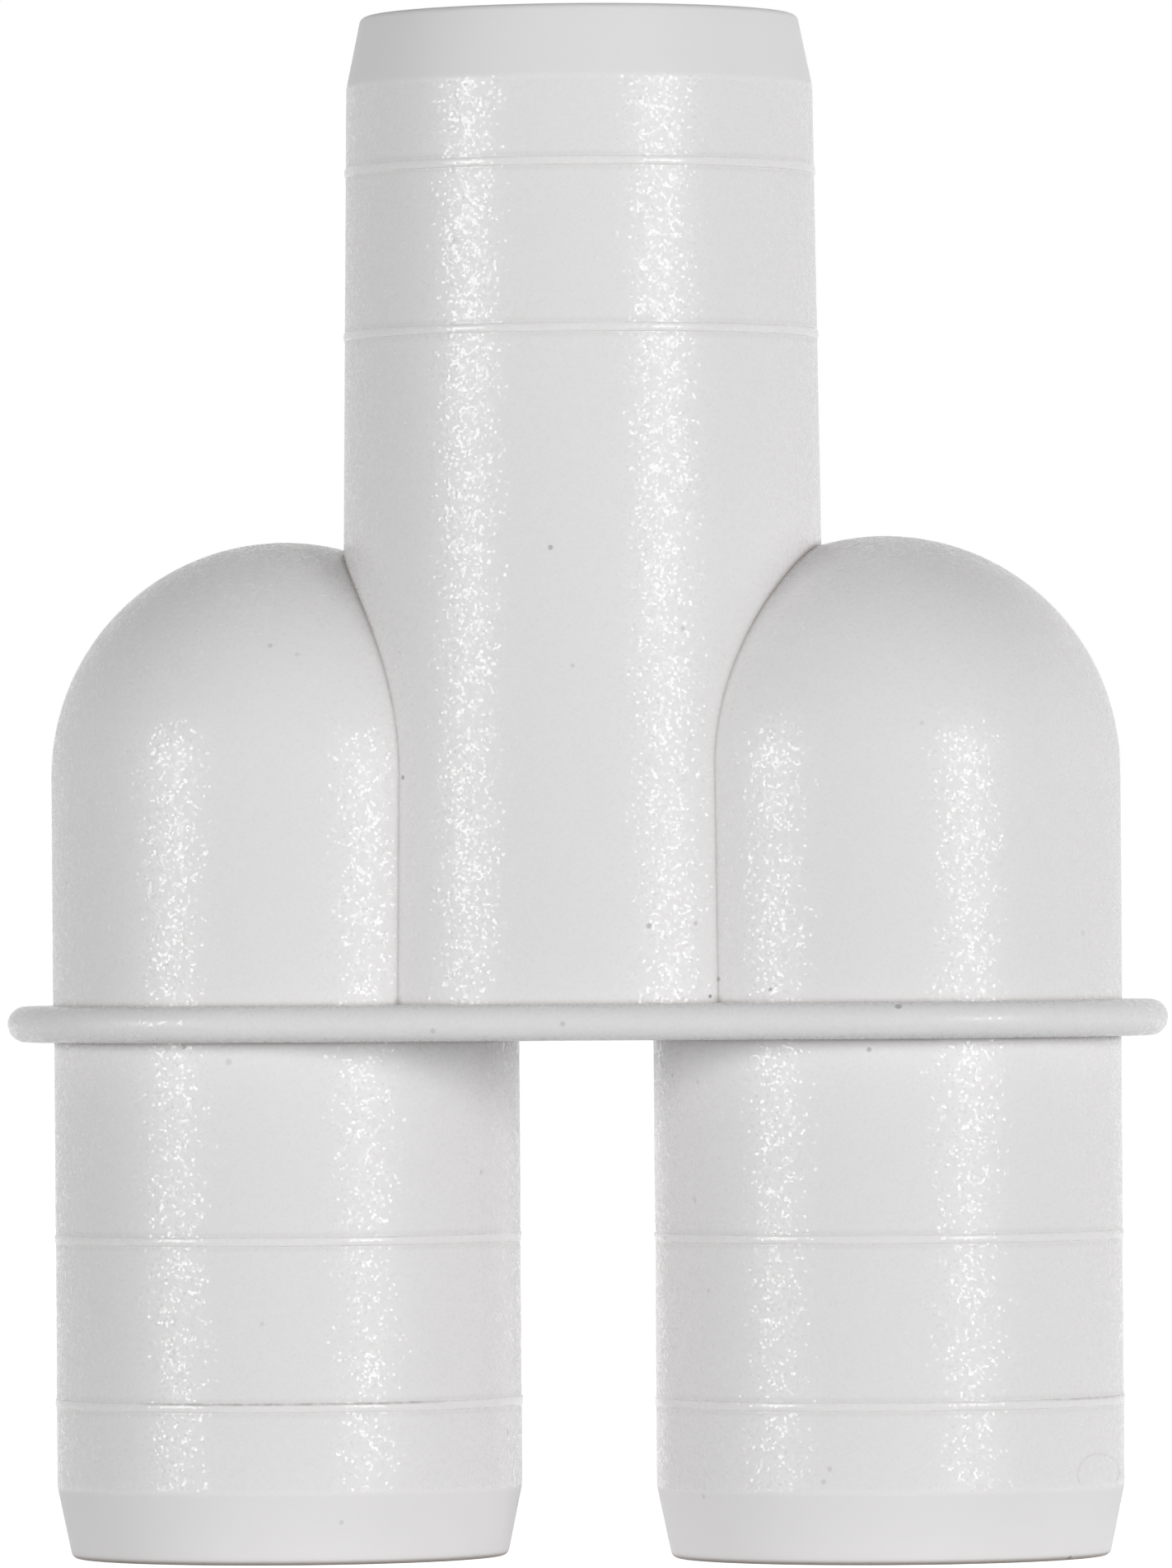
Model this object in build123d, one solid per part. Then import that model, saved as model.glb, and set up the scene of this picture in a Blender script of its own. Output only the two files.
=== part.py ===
from build123d import *
import os

os.makedirs("parts", exist_ok=True)

# Driving dimensions, in millimetres. The connector stands on the open ends of its two legs,
# at z = 0. The legs are side by side along X, and the upper spigot rises midway between them.

# spigots, all three for the same hose
spigot_diameter = 22.0
wall_thickness = 2.0
leg_length = 24.4               # open end to the underside of the flange
upper_length = 46.55            # top of the flange to the upper open end
upper_taper = 1 / 40            # what the upper spigot gains in diameter per mm towards the flange
leg_spacing = 28.65             # between the two leg axes

# open ends, eased so that a hose starts without folding
lead_in_length = 3.4
lead_in_depth = 0.66
rim_chamfer = 0.3

# fine raised beads that grip the hose
bead_width = 0.43               # at its foot
bead_crest = 0.2                # the flat along its top
bead_height = 0.07
first_bead = 7.35               # open end to the middle of the first bead
bead_pitch = 7.75
bead_count = 2

# shoulders, where the flow of the upper spigot divides
shoulder_step = 0.05            # how far their sides stand out past the legs
shoulder_height = 10.8          # top of the flange to the centre of each dome
web_thickness = 2.0             # the floor between the two leg bores
nose_length = 7.4               # each leg bore ends in a blunt cone inside its dome
nose_diameter = 9.0

# flange, a stop for the hoses
flange_thickness = 1.7
flange_overhang = 2.2           # past the outside of the legs
flange_bevel = 0.5              # on both edges all round

# Levels and radii that follow
flange_top = leg_length + flange_thickness
dome_level = flange_top + shoulder_height
overall_height = flange_top + upper_length
web_top = leg_length + web_thickness
spigot_radius = spigot_diameter / 2
bore_radius = spigot_radius - wall_thickness
shoulder_radius = spigot_radius + shoulder_step


def outline(*points):
    # a flat half section in the XZ plane, ready to be turned about Z
    return make_face(Plane.XZ * Polyline(*points, close=True))


def spigot_radius_at(depth, taper):
    # the radius at a depth below the open end, past the lead-in
    return spigot_radius + taper * (depth - lead_in_length) / 2


def bead(depth, taper):
    # the half section of one bead, from its upper foot over the crest to its lower foot
    reaches = [(-bead_width, 0), (-bead_crest, bead_height), (bead_crest, bead_height), (bead_width, 0)]
    places = [(depth + along / 2, out) for along, out in reaches]
    return [(spigot_radius_at(place, taper) + out, -place) for place, out in places]


def spigot(length, taper=0.0):
    # a solid spigot with its open end up, at z = 0
    mouth = spigot_radius - lead_in_depth
    side = [(0, 0), (mouth, 0), (spigot_radius, -lead_in_length)]
    for number in range(bead_count):
        side += bead(first_bead + number * bead_pitch, taper)
    side += [(spigot_radius_at(length, taper), -length), (0, -length)]
    return revolve(outline(*side), Axis.Z)


def shoulder():
    # a solid leg above the flange, closed by a dome
    return Pos(0, 0, flange_top) * Cylinder(
        shoulder_radius, shoulder_height, align=(Align.CENTER, Align.CENTER, Align.MIN)
    ) + Pos(0, 0, dome_level) * Sphere(shoulder_radius)


def flange():
    # a plate with a round end about each leg axis
    reach = spigot_radius + flange_overhang
    plate = extrude(SlotCenterToCenter(leg_spacing, 2 * reach), flange_thickness)
    return Pos(0, 0, leg_length) * chamfer(plate.faces().filter_by(Axis.Z).edges(), flange_bevel)


def leg_bore():
    # straight up from the open end, and narrower inside the dome over it
    return Cylinder(
        bore_radius, dome_level, align=(Align.CENTER, Align.CENTER, Align.MIN)
    ) + Pos(0, 0, dome_level) * Cone(
        bore_radius, nose_diameter / 2, nose_length, align=(Align.CENTER, Align.CENTER, Align.MIN)
    )


def upper_bore():
    # from the upper open end down to the web, and so into both leg bores
    return Pos(0, 0, web_top) * Cylinder(
        bore_radius,
        overall_height - web_top,
        align=(Align.CENTER, Align.CENTER, Align.MIN),
    )


def ease_rims(body):
    # the outer edge of each open end loses its sharpness
    ends = body.faces().filter_by(Axis.Z).group_by(Axis.Z)
    edges = [edge for end in ends[0] + ends[-1] for edge in end.outer_wire().edges()]
    return chamfer(edges, rim_chamfer)


def connector_body():
    leg_places = [Pos(-leg_spacing / 2, 0, 0), Pos(leg_spacing / 2, 0, 0)]
    leg = Rot(180, 0, 0) * spigot(leg_length)
    outside = Pos(0, 0, overall_height) * spigot(upper_length, upper_taper) + flange()
    for place in leg_places:
        outside += place * leg + place * shoulder()
    inside = upper_bore() + [place * leg_bore() for place in leg_places]
    return ease_rims(outside - inside)


body = connector_body()
body.label = "connector_body"
export_step(body, "parts/connector_body.step")
print("solids", len(body.solids()), "volume", round(body.volume, 2), "size", body.bounding_box().size)
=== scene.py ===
import math

import bmesh
import bpy
from mathutils import Matrix, Vector


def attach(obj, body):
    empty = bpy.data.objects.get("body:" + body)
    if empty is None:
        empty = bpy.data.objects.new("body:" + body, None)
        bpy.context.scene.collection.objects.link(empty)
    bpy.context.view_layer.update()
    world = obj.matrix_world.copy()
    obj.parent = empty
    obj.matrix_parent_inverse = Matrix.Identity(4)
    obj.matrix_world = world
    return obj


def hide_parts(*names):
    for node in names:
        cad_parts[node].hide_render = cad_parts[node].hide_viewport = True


mm = 0.001

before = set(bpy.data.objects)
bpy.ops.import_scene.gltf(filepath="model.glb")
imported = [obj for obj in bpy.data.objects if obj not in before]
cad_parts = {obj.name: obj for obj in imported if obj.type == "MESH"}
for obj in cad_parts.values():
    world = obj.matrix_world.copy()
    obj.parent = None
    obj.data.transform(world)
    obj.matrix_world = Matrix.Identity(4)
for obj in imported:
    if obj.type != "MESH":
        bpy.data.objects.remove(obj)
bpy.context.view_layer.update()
print("frame loaded")


class Value:
    # one socket of a material, with the maths that is done on it
    def __init__(self, sheet, socket):
        self.sheet = sheet
        self.socket = socket

    def math(self, operation, *others, clamp=False):
        return self.sheet.node("ShaderNodeMath", self, *others, operation=operation, use_clamp=clamp)

    def __add__(self, other):
        return self.math("ADD", other)

    def __sub__(self, other):
        return self.math("SUBTRACT", other)

    def __rsub__(self, other):
        return self.sheet.node("ShaderNodeMath", other, self, operation="SUBTRACT")

    def __mul__(self, other):
        return self.math("MULTIPLY", other)

    __radd__ = __add__
    __rmul__ = __mul__


class Sheet:
    # the node sheet of one material, world or floor
    def __init__(self, owner):
        owner.use_nodes = True
        self.tree = owner.node_tree
        self.tree.nodes.clear()

    def node(self, kind, *values, output=0, stops=None, **settings):
        # settings first, then the sockets in order, or by name where a dictionary is given
        made = self.tree.nodes.new(kind)
        for name, setting in settings.items():
            setattr(made, name, setting)
        if stops:
            ramp = made.color_ramp.elements
            while len(ramp) < len(stops):
                ramp.new(1.0)
            for element, (place, shade) in zip(ramp, stops):
                element.position = place
                element.color = shade
        for slot, value in enumerate(values):
            named = value if isinstance(value, dict) else {slot: value}
            for key, one in named.items():
                socket = made.inputs[key]
                if isinstance(one, Value):
                    self.tree.links.new(one.socket, socket)
                elif one is not None:
                    socket.default_value = one
        return Value(self, made.outputs[output]) if made.outputs else made

    def mixed(self, first, second, share, blend="MIX"):
        # two colours, or the second laid over the first with one of the blends
        colours = {0: share, 6: first, 7: second}
        return self.node("ShaderNodeMix", colours, output=2, data_type="RGBA", blend_type=blend)


# The connector stands on the open ends of its legs. All sizes in mm.
connectorSizes = {
    "spigotRadius": 11.0,
    "wall": 2.0,
    "legSpacing": 28.65,  # between the leg axes
    "flangeLow": 24.4,
    "flangeTop": 26.1,
    "flangeReach": 13.2,  # from a leg axis to the rim
    "shoulderRadius": 11.05,
    "domeLevel": 36.9,
    "webTop": 26.4,  # floor between the two leg bores
    "noseLength": 7.4,  # the blunt end of a leg bore, inside the dome
    "noseRadius": 4.5,
    "height": 72.65,
    "upperSpread": 1 / 80,  # what the upper spigot gains in radius for each mm down
    "leadLength": 3.4,
    "leadDepth": 0.7,
    "rimRound": 0.35,
    "rimFlat": 0.3,  # from the bore to the first corner on the open end
    "beadDepths": (7.35, 15.1),  # from an open end to the middle of each bead
    "beadWidth": 0.43,
    "beadHeight": 0.07,
    "around": 192,  # faces around a tube
}


def arc(centre, radius, start, end, steps):
    # points on an arc in the half section, angles in degrees from outwards to up
    turns = [math.radians(start + (end - start) * i / steps) for i in range(steps + 1)]
    return [(centre[0] + radius * math.cos(a), centre[1] + radius * math.sin(a)) for a in turns]


def spigotSide(sizes, spread):
    # half section from the middle of the open end up the outside, as (radius, depth) pairs
    radius, depth = sizes["spigotRadius"], sizes["leadLength"]
    mouth = radius - sizes["leadDepth"]
    lean = math.degrees(math.atan2(sizes["leadDepth"], depth))
    ease = sizes["rimRound"]

    def reach(place):
        return radius + spread * (place - depth)

    # the round is tangent to the open end and to the lead-in
    tilt = math.radians(90 + lean)
    run = ease * math.tan((math.pi - tilt) / 2)
    inward = mouth - run
    side = [(0, 0), (radius - sizes["wall"] + sizes["rimFlat"], 0), (inward - 0.02, 0)]
    side += arc((inward, ease), ease, -90, -lean, 6)
    # the corner where the lead-in ends is eased a little
    for share in (0.3, 0.96, 0.99):
        side.append((mouth + (radius - mouth) * share, depth * share))
    side += [(reach(depth * 1.012), depth * 1.012), (reach(depth * 1.05), depth * 1.05)]
    half, rise = sizes["beadWidth"] / 2, sizes["beadHeight"]
    for middle in sizes["beadDepths"]:
        for step in range(9):
            turn = math.pi * step / 8
            place = middle - half * math.cos(turn)
            side.append((reach(place) + rise * math.sin(turn) ** 0.8, place))
    return side, reach


def turned(name, section, axis=0.0):
    # a closed solid of revolution about an upright axis
    form = bmesh.new()
    count = connectorSizes["around"]
    rings = []
    for radius, level in section:
        turns = [2 * math.pi * i / count for i in range(count)] if radius > 0 else [0]
        rings.append(
            [
                form.verts.new(((axis + radius * math.cos(a)) * mm, radius * math.sin(a) * mm, level * mm))
                for a in turns
            ]
        )
    for low, high in zip(rings, rings[1:]):
        for i in range(count):
            j = (i + 1) % count
            corners = [low[i % len(low)], low[j % len(low)], high[j % len(high)], high[i % len(high)]]
            form.faces.new(list(dict.fromkeys(corners)))
    return solid(name, form)


def solid(name, form):
    bmesh.ops.recalc_face_normals(form, faces=form.faces[:])
    mesh = bpy.data.meshes.new(name)
    form.to_mesh(mesh)
    form.free()
    made = bpy.data.objects.new(name, mesh)
    bpy.context.scene.collection.objects.link(made)
    return made


def roundRimPlate(name, sizes):
    # the flange, with a full round rim: its section is carried around both leg axes
    half = (sizes["flangeTop"] - sizes["flangeLow"]) / 2
    middle = (sizes["flangeTop"] + sizes["flangeLow"]) / 2
    rim = arc((sizes["flangeReach"] - half, middle), half, -90, 90, 20)
    inner = rim[0][0] - 0.03
    section = [(inner, rim[0][1])] + rim + [(inner, rim[-1][1])]
    count = sizes["around"] // 2
    places = []
    for side, start in ((1, -90), (-1, 90)):
        for i in range(count + 1):
            turn = math.radians(start + 180 * i / count)
            places.append((side * sizes["legSpacing"] / 2, math.cos(turn), math.sin(turn)))
    form = bmesh.new()
    rings = [
        [form.verts.new(((x + reach * c) * mm, reach * s * mm, level * mm)) for x, c, s in places]
        for reach, level in section
    ]
    for low, high in zip(rings, rings[1:]):
        for i in range(len(places)):
            j = (i + 1) % len(places)
            form.faces.new((low[i], low[j], high[j], high[i]))
    form.faces.new(rings[0])
    form.faces.new(rings[-1])
    return solid(name, form)


def joined(first, others, how):
    # one boolean after the other, and the used solids go
    for other in others:
        cut = first.modifiers.new(how, "BOOLEAN")
        cut.operation = how
        cut.solver = "MANIFOLD"
        cut.object = other
        ready = first.evaluated_get(bpy.context.evaluated_depsgraph_get())
        mesh = bpy.data.meshes.new_from_object(ready)
        first.modifiers.clear()
        first.data = mesh
        bpy.data.objects.remove(other)
    return first


def connectorBody(sizes):
    wide = sizes["legSpacing"] / 2
    bore = sizes["spigotRadius"] - sizes["wall"]
    ease = sizes["rimRound"]
    middle = (sizes["flangeTop"] + sizes["flangeLow"]) / 2

    legSide, legReach = spigotSide(sizes, 0)
    leg = legSide + [(legReach(middle), middle), (sizes["shoulderRadius"], middle)]
    leg += arc((0, sizes["domeLevel"]), sizes["shoulderRadius"], 0, 90, 40)[:-1]
    leg.append((0, sizes["domeLevel"] + sizes["shoulderRadius"]))

    upperSide, upperReach = spigotSide(sizes, sizes["upperSpread"])
    length = sizes["height"] - middle
    upperSide += [(upperReach(length), length), (0, length)]
    upper = [(reach, sizes["height"] - depth) for reach, depth in upperSide]

    outside = turned("tubingConnector", upper)
    added = [roundRimPlate("flange", sizes), turned("leftLeg", leg, -wide), turned("rightLeg", leg, wide)]
    outside = joined(outside, added, "UNION")

    # the bores start outside the open ends, with the rims' inner rounds
    rim = arc((bore + ease, ease), ease, 270, 180, 5)
    flare = [(0, -1), (bore + ease, -1)] + rim + [(bore, ease + 0.03)]
    nose, noseRadius = sizes["domeLevel"] + sizes["noseLength"], sizes["noseRadius"]
    legBore = flare + [(bore, sizes["domeLevel"]), (noseRadius, nose), (noseRadius - 0.05, nose), (0, nose)]
    floorDepth = sizes["height"] - sizes["webTop"]
    upperBore = flare + [(bore, floorDepth), (0, floorDepth)]
    upperBore = [(reach, sizes["height"] - depth) for reach, depth in upperBore]
    bores = [turned("upperBore", upperBore)]
    bores += [turned("leftBore", legBore, -wide), turned("rightBore", legBore, wide)]
    return joined(outside, bores, "DIFFERENCE")


plasticLook = {
    "colour": (0.828, 0.818, 0.818, 1.0),
    "roughness": 0.42,
    "flangeTint": (0.965, 0.975, 0.985, 1.0),
    # painted shade: a dark brown laid into the creases and where the flange meets the tubes, by ambient
    # occlusion
    "creviceShadeColour": (0.30, 0.26, 0.23, 1.0),
    "creviceShadeReach": 0.45,
    "speckColour": (0.10, 0.085, 0.075, 1.0),
    # lead-ins and beads, with painted shade beside each bead and painted highlights along it and where a
    # lead-in ends
    "leadRoughness": 0.62,
    "beadRoughness": 0.24,
    "plainTone": 0.97,
    "grooveShadeTone": 0.90,  # beside a bead
    "edgeHighlightTone": 1.0,  # along a bead and where a lead-in ends
    # small polished spots
    # painted sheen: the polished spots get a slightly lighter colour to make up for their dim reflection
    "spotSheenColour": (0.850, 0.840, 0.840, 1.0),
    "polish": 0.17,
    "spotSize": 0.13,
    "spotShare": (0.53, 0.66),
    "patchSize": 0.55,
    "gather": 0.55,  # how much the patches count beside the single spots
    "tilt": 0.19,  # how far a spot leans out of the surface
}

# single marks, in mm
marks = {
    "scuff": {"middle": (-8.8, -9.5, 9.0), "radius": 0.9, "strength": 0.35},
    "brokenLine": {
        "level": (7.44, 7.5, 7.56, 7.62),
        "left": (-20, -18.5, -7, -5.5),
        "right": (22.4, 23.2, 30, 31),
        "leftStrength": 0.4,
        "rightStrength": 0.25,
    },
    "hair": {"middle": (24.55, 4.0), "reach": (0.72, 0.92), "level": (3.4, 3.7, 6, 7), "strength": 0.12},
}

# dark specks in the skin: middle, radius and darkness
specks = [
    (0.2, -11.3, 47.3, 0.12, 0.46),
    (1.2, -11.3, 41.8, 0.10, 0.20),
    (-13.4, -9.2, 42.9, 0.12, 0.23),
    (-12.1, -9.3, 42.5, 0.12, 0.17),
    (-7.2, -8.8, 36.7, 0.11, 0.54),
    (-23.8, -5.6, 31.9, 0.10, 0.31),
    (-4.3, -4.6, 18.2, 0.14, 0.23),
    (-13.7, -11.0, 11.3, 0.11, 0.17),
    (-17.4, -10.6, 24.2, 0.11, 0.44),
    (-15.2, -11.0, 23.5, 0.15, 0.19),
    (-3.5, -2.2, 5.9, 0.12, 0.32),
    (-10.2, -9.9, 2.0, 0.11, 0.18),
    (0.9, -13.2, 25.2, 0.12, 0.27),
    (-5.2, -13.1, 24.9, 0.13, 0.22),
    (17.4, -10.4, 39.0, 0.11, 0.16),
    (24.2, -5.0, 29.2, 0.14, 0.16),
    (7.6, -8.7, 27.2, 0.12, 0.40),
    (10.2, -10.3, 26.7, 0.11, 0.53),
    (7.2, -9.0, 26.4, 0.09, 0.66),
    (4.6, -10.6, 29.7, 0.14, 0.42),
    (6.6, -9.4, 29.8, 0.10, 0.34),
    (6.1, -9.5, 43.5, 0.12, 0.32),
    (14.9, -11.0, 23.9, 0.11, 0.41),
    (16.5, -12.7, 25.9, 0.16, 0.49),
    (4.9, -5.7, 22.7, 0.11, 0.34),
    (6.4, -7.6, 22.4, 0.10, 0.20),
    (6.2, -7.4, 16.9, 0.14, 0.15),
    (6.9, -8.1, 12.7, 0.11, 0.20),
    (6.5, -7.7, 3.1, 0.12, 0.20),
    (12.6, -10.9, 3.9, 0.13, 0.22),
    (12.9, -10.9, 4.5, 0.12, 0.18),
    (23.3, -4.9, 0.1, 0.15, 0.56),
]


def beadHighlightsAndShade(look, sizes):
    # painted highlights along each bead and where a lead-in ends, and painted shade beside each bead, by
    # the distance from the nearest open end
    plain, shadeBesideBead, highlightOnBead = look["plainTone"], look["grooveShadeTone"], look["edgeHighlightTone"]
    paintedTones = [(0, plain), (3.22, plain), (3.38, highlightOnBead), (3.44, highlightOnBead), (3.6, plain)]
    beside = [(-0.5, plain), (-0.3, shadeBesideBead), (-0.16, highlightOnBead), (0.16, highlightOnBead), (0.3, shadeBesideBead), (0.5, plain)]
    for middle in sizes["beadDepths"]:
        paintedTones += [(middle + away, paintedTone) for away, paintedTone in beside]
    return paintedTones


def distanceFrom(sheet, place, point):
    return sheet.node("ShaderNodeVectorMath", place, point, operation="DISTANCE", output="Value")


def between(sheet, value, *steps):
    # 0 outside the first and last step, 1 between the two in the middle, in mm
    up = sheet.node("ShaderNodeMapRange", value, steps[0] * mm, steps[1] * mm, 0.0, 1.0)
    down = sheet.node("ShaderNodeMapRange", value, steps[2] * mm, steps[3] * mm, 1.0, 0.0)
    return up * down


def speckle(sheet, place):
    # adds up the dark specks, 0 where the skin is clean
    total = 0.0
    for x, y, z, radius, dark in specks:
        away = distanceFrom(sheet, place, (x * mm, y * mm, z * mm))
        near = away.math("MULTIPLY_ADD", -1.8 / (radius * mm), 2.3, clamp=True)
        total = near.math("MULTIPLY_ADD", dark, total)
    return total


def brokenLine(sheet, across, level, patch):
    # a dark line along the lowest beads, broken up by the patches
    line = marks["brokenLine"]
    left = between(sheet, across, *line["left"])
    right = between(sheet, across, *line["right"])
    legs = left * line["leftStrength"] + right * line["rightStrength"]
    return between(sheet, level, *line["level"]) * legs * patch.math("MULTIPLY_ADD", 3.0, -0.8, clamp=True)


def pressedHair(sheet, place, level):
    # a fine hair in the front of the right leg, bowed upwards
    hair = marks["hair"]
    (x, z), (wide, high) = hair["middle"], hair["reach"]
    stretch = (1 / (wide * mm), 0, 1 / (high * mm))
    bow = sheet.node("ShaderNodeVectorMath", place, stretch, operation="MULTIPLY")
    bow = distanceFrom(sheet, bow, (x / wide, 0, z / high))
    along = between(sheet, bow * mm, 0.92, 0.98, 1.02, 1.08) * between(sheet, level, *hair["level"])
    front = sheet.node("ShaderNodeSeparateXYZ", place, output="Y").math("LESS_THAN", 0.0)
    return along * front * hair["strength"]


def leaningNormal(sheet, spots, tilt):
    # each spot leans its own way
    lean = sheet.node("ShaderNodeTexWhiteNoise", {"Vector": spots}, output="Color")
    lean = sheet.node("ShaderNodeVectorMath", lean, (0.5, 0.5, 0.5), operation="SUBTRACT")
    lean = sheet.node("ShaderNodeVectorMath", lean, {"Scale": tilt}, operation="SCALE")
    upright = sheet.node("ShaderNodeNewGeometry", output="Normal")
    leaning = sheet.node("ShaderNodeVectorMath", upright, lean, operation="ADD")
    return sheet.node("ShaderNodeVectorMath", leaning, operation="NORMALIZE")


def mouldedPlastic(look, sizes):
    # an even satin skin with small polished spots, as spark-eroded moulds leave, with painted sheen,
    # highlights and shade in its colour
    material = bpy.data.materials.new("mouldedPlastic")
    sheet = Sheet(material)
    place = sheet.node("ShaderNodeTexCoord", output="Object")
    across = sheet.node("ShaderNodeSeparateXYZ", place, output="X")
    level = sheet.node("ShaderNodeSeparateXYZ", place, output="Z")
    depth = level.math("MINIMUM", sizes["height"] * mm - level)
    lead = between(sheet, depth, -1, 0, 3.2, 3.4)

    # polished spots, gathered in patches and kept off the lead-ins
    cells = {"Vector": place, "Scale": 1 / (look["spotSize"] * mm)}
    spots = sheet.node("ShaderNodeTexVoronoi", cells, output="Color")
    spot = sheet.node("ShaderNodeSeparateColor", spots, output="Red")
    grain = {"Vector": place, "Scale": 1 / (look["patchSize"] * mm), "Detail": 2.0, "Roughness": 0.6}
    patch = sheet.node("ShaderNodeTexNoise", grain)
    scuff = distanceFrom(sheet, place, tuple(v * mm for v in marks["scuff"]["middle"]))
    scuff = scuff.math("MULTIPLY_ADD", -1 / (marks["scuff"]["radius"] * mm), 1.0, clamp=True)
    amount = spot * (1 - look["gather"]) + patch * look["gather"]
    amount = amount + scuff * marks["scuff"]["strength"] + 0.05
    low, high = look["spotShare"]
    glint = sheet.node("ShaderNodeMapRange", {"Value": amount, "From Min": low, "From Max": high})
    glint = glint * (1 - lead)

    plain = look["roughness"]
    rough = glint * (look["polish"] - plain) + lead * (look["leadRoughness"] - plain)
    for middle in sizes["beadDepths"]:
        bead = between(sheet, depth, middle - 0.26, middle - 0.16, middle + 0.16, middle + 0.26)
        rough = rough + bead * (look["beadRoughness"] - plain)
    rough = (rough + plain).math("MAXIMUM", look["polish"])

    # painted light and shade along the rings: highlights on the beads and lead-in ends, shade beside the
    # beads
    rampReach = 20.0
    stops = [(where / rampReach, (paintedTone, paintedTone, paintedTone, 1)) for where, paintedTone in beadHighlightsAndShade(look, sizes)]
    paintedTone = sheet.node("ShaderNodeValToRGB", depth * (1 / (rampReach * mm)), stops=stops)
    low, high = sizes["flangeLow"], sizes["flangeTop"]
    plate = between(sheet, level, low - 0.03, low, high, high + 0.03)
    # painted shade in the creases, from ambient occlusion over a short reach
    reach = {"Distance": look["creviceShadeReach"] * mm}
    openness = sheet.node("ShaderNodeAmbientOcclusion", reach, output="AO", samples=4)
    creviceShade = openness.math("MULTIPLY_ADD", -1.6, 1.25, clamp=True)

    # painted sheen: a lighter colour on the polished spots
    colour = sheet.mixed(look["colour"], look["spotSheenColour"], glint)
    # the painted highlights and shade along the rings are multiplied in
    colour = sheet.mixed(colour, paintedTone, 1.0, "MULTIPLY")
    colour = sheet.mixed(colour, look["flangeTint"], plate, "MULTIPLY")
    colour = sheet.mixed(colour, look["speckColour"], brokenLine(sheet, across, level, patch))
    colour = sheet.mixed(colour, look["speckColour"], pressedHair(sheet, place, level))
    # painted shade: the creases take the dark brown
    colour = sheet.mixed(colour, look["creviceShadeColour"], creviceShade)
    colour = sheet.mixed(colour, look["speckColour"], speckle(sheet, place))
    normal = leaningNormal(sheet, spots, glint * look["tilt"])
    finish = {"Base Color": colour, "Roughness": rough, "Normal": normal}
    skin = sheet.node("ShaderNodeBsdfPrincipled", finish)
    sheet.node("ShaderNodeOutputMaterial", {"Surface": skin})
    return material


def tidied(piece):
    # corners closer than a micrometre, left where the solids met, become one
    form = bmesh.new()
    form.from_mesh(piece.data)
    bmesh.ops.remove_doubles(form, verts=form.verts[:], dist=0.001 * mm)
    form.to_mesh(piece.data)
    form.free()
    return piece


connector = tidied(connectorBody(connectorSizes))
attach(connector, "root")
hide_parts("connector_body")
for polygon in connector.data.polygons:
    polygon.use_smooth = True
    polygon.material_index = 0
connector.data.set_sharp_from_angle(angle=math.radians(30))
connector.data.materials.clear()
connector.data.materials.append(mouldedPlastic(plasticLook, connectorSizes))
print("connector finished")


studio = {
    "floorReach": 120.0,
    "floorPaper": 0.9,
    "floorGlow": 0.87,
    "bearing": 8.6,  # of the view, the lamps are set out from it
    "ringLevel": 1.15,  # brightness of the low ring of light around the object
    "ringLean": 0.95,  # how much brighter it is on one side
    "leanBearing": 83,
    "ringFace": 0.97,  # how much brighter it is in front and behind
    "faceBearing": 8,
    "ringTop": (11, 23),  # angles above the floor at which it fades
    "upperTop": (35, 55),
    "upperLevel": 0.08,
    "ceilingLevel": 0.0,
}

softboxes = {
    "leftSoftbox": {"bearing": -56, "reach": 0.75, "wide": 0.26, "tall": 0.25, "brightness": 8.1},
    "rightSoftbox": {"bearing": 40, "reach": 0.75, "wide": 0.26, "tall": 0.25, "brightness": 7.6},
    "backSoftbox": {
        "bearing": 180,
        "reach": 0.75,
        "wide": 0.5,
        "tall": 0.5,
        "brightness": 2.3,
        "hidden": True,  # it fills the far side, and isn't seen or mirrored itself
    },
}


def addSoftbox(name, box):
    light = bpy.data.lights.new(name, "AREA")
    light.shape = "RECTANGLE"
    light.size = box["wide"]
    light.size_y = box["tall"]
    light.energy = math.pi * box["wide"] * box["tall"] * box["brightness"]
    lamp = bpy.data.objects.new(name, light)
    bpy.context.scene.collection.objects.link(lamp)
    lamp.visible_camera = lamp.visible_glossy = not box.get("hidden")
    angle = math.radians(studio["bearing"] + box["bearing"])
    lamp.location = (box["reach"] * math.sin(angle), -box["reach"] * math.cos(angle), box["tall"] / 2)
    inward = Vector((-lamp.location.x, -lamp.location.y, 0))
    lamp.rotation_euler = inward.to_track_quat("-Z", "Y").to_euler()


def seenDirectly(sheet):
    # 1 where the backdrop is looked at, also in a reflection or through something clear
    kinds = ("Is Camera Ray", "Is Glossy Ray", "Is Transmission Ray")
    camera, glossy, through = [sheet.node("ShaderNodeLightPath", output=kind) for kind in kinds]
    return camera.math("MAXIMUM", glossy).math("MAXIMUM", through)


def addFloor():
    half = studio["floorReach"] / 2
    mesh = bpy.data.meshes.new("floor")
    corners = [(-half, -half, 0), (half, -half, 0), (half, half, 0), (-half, half, 0)]
    mesh.from_pydata(corners, [], [(0, 1, 2, 3)])
    floor = bpy.data.objects.new("floor", mesh)
    bpy.context.scene.collection.objects.link(floor)
    material = bpy.data.materials.new("paleFloor")
    sheet = Sheet(material)
    paper = sheet.node("ShaderNodeBsdfDiffuse", {"Color": (studio["floorPaper"],) * 3 + (1,)})
    glow = seenDirectly(sheet) * studio["floorGlow"]
    white = sheet.node("ShaderNodeEmission", {"Color": (1, 1, 1, 1), "Strength": glow})
    shown = sheet.node("ShaderNodeAddShader", paper, white)
    sheet.node("ShaderNodeOutputMaterial", {"Surface": shown})
    mesh.materials.append(material)


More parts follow.
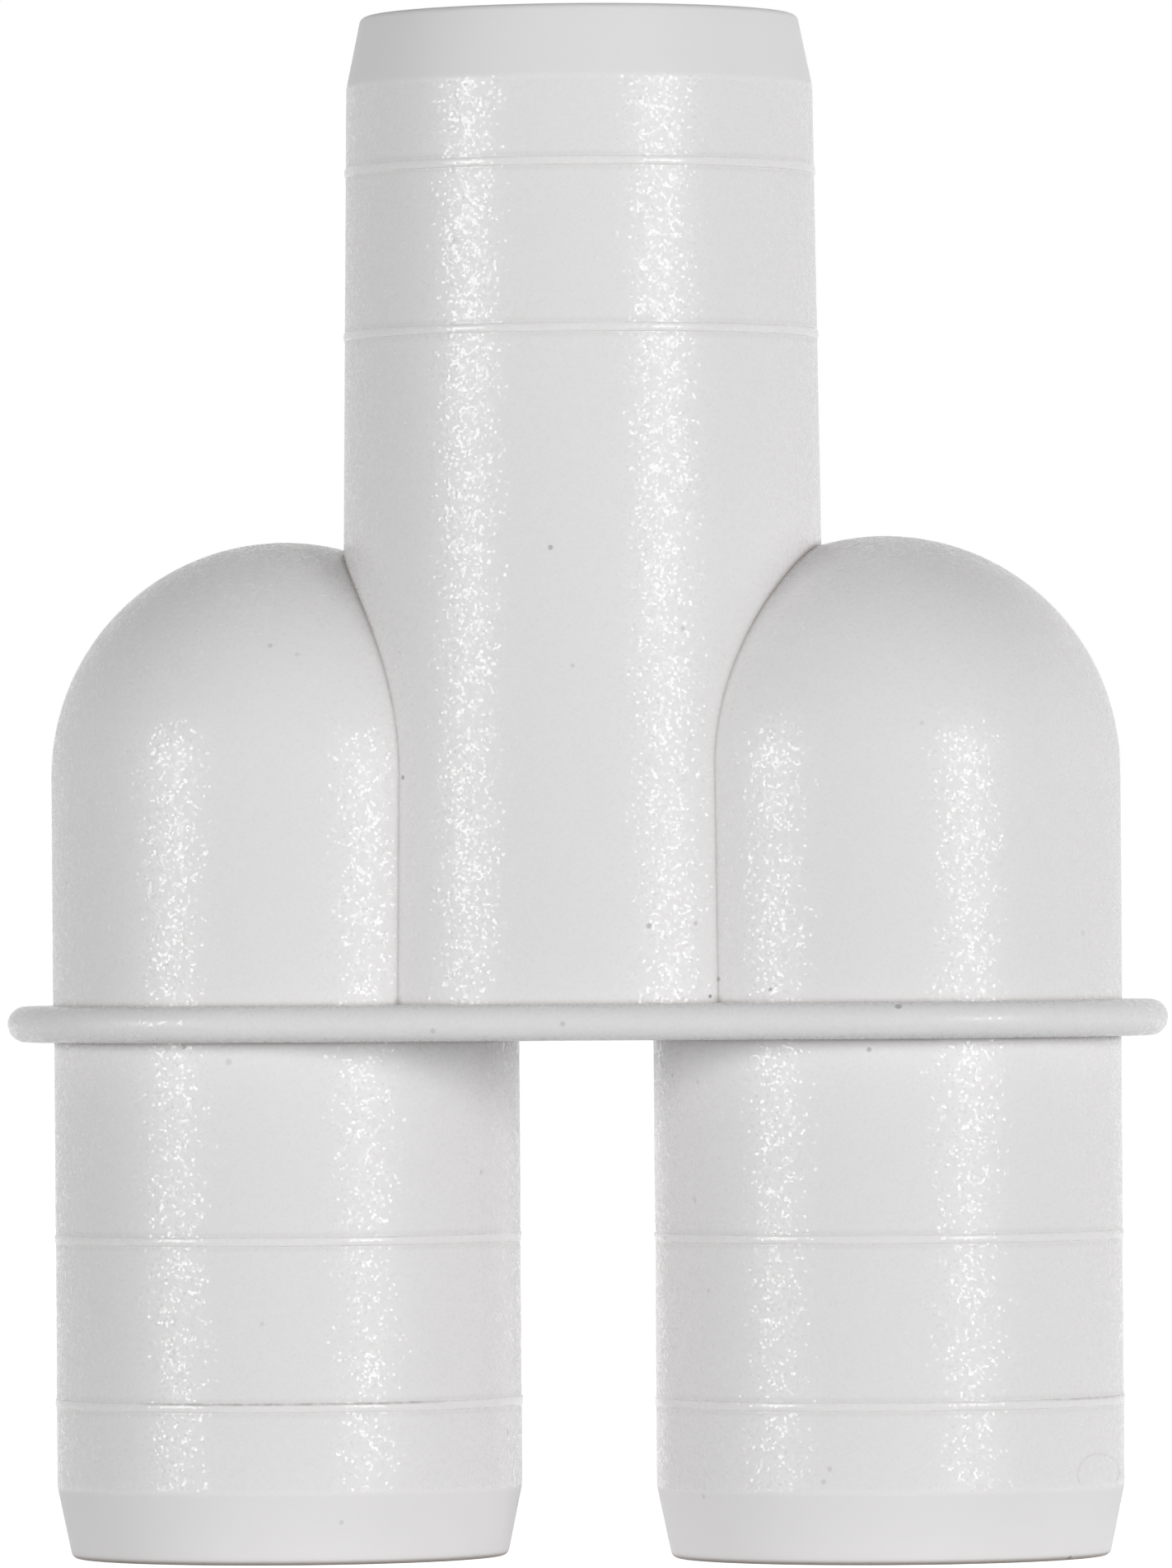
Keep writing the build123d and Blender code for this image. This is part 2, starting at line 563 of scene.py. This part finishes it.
def towards(sheet, way, bearing):
    # how far a direction points to a bearing, -1 to 1
    angle = math.radians(studio["bearing"] + bearing)
    lean = (math.sin(angle), -math.cos(angle), 0)
    return sheet.node("ShaderNodeVectorMath", way, lean, operation="DOT_PRODUCT", output="Value")


def fadeAbove(sheet, rise, start, end):
    # 1 up to one angle above the floor, 0 from the other
    low, high = math.sin(math.radians(start)), math.sin(math.radians(end))
    span = {"Value": rise, "From Min": low, "From Max": high, "To Min": 1.0, "To Max": 0.0}
    return sheet.node("ShaderNodeMapRange", span, interpolation_type="SMOOTHSTEP")


def addWorld():
    world = bpy.data.worlds.new("studioAir")
    bpy.context.scene.world = world
    sheet = Sheet(world)
    way = sheet.node("ShaderNodeTexCoord", output="Generated")
    side = towards(sheet, way, studio["leanBearing"])
    face = towards(sheet, way, studio["faceBearing"])
    rise = sheet.node("ShaderNodeSeparateXYZ", way, output="Z")
    ring = fadeAbove(sheet, rise, *studio["ringTop"])
    upper = fadeAbove(sheet, rise, *studio["upperTop"])
    around = side * studio["ringLean"] + face * face * studio["ringFace"] + studio["ringLevel"]
    level = ring * (around - studio["upperLevel"])
    level = level + upper * (studio["upperLevel"] - studio["ceilingLevel"]) + studio["ceilingLevel"]
    air = sheet.node("ShaderNodeBackground", {"Color": (1, 1, 1, 1), "Strength": level})
    white = sheet.node("ShaderNodeBackground", {"Color": (1, 1, 1, 1), "Strength": 1.0})
    shown = sheet.node("ShaderNodeMixShader", seenDirectly(sheet), air, white)
    sheet.node("ShaderNodeOutputWorld", {"Surface": shown})


for name, box in softboxes.items():
    addSoftbox(name, box)
addFloor()
addWorld()
print("studio lit")


view = {
    "bearing": 8.6,
    "distance": 680.7,
    "eyeLevel": 29.88,
    "aimLevel": 36.41,
    "aimAside": 0.08,
    "lens": 331.2,
    "sensor": 36.0,
    "roll": -0.42,
}


def addCamera():
    data = bpy.data.cameras.new("view")
    data.lens = view["lens"]
    data.sensor_width = view["sensor"]
    data.clip_end = 300.0
    camera = bpy.data.objects.new("view", data)
    bpy.context.scene.collection.objects.link(camera)
    angle = math.radians(view["bearing"])
    away = view["distance"] * mm
    camera.location = (away * math.sin(angle), -away * math.cos(angle), view["eyeLevel"] * mm)
    aim = Vector((view["aimAside"] * mm, 0, view["aimLevel"] * mm)) - camera.location
    turn = aim.to_track_quat("-Z", "Y").to_matrix().to_4x4()
    camera.matrix_world = Matrix.Translation(camera.location) @ turn @ Matrix.Rotation(
        math.radians(view["roll"]), 4, "Z"
    )
    bpy.context.scene.camera = camera


addCamera()
bpy.context.scene.view_settings.view_transform = "Standard"

print("done")
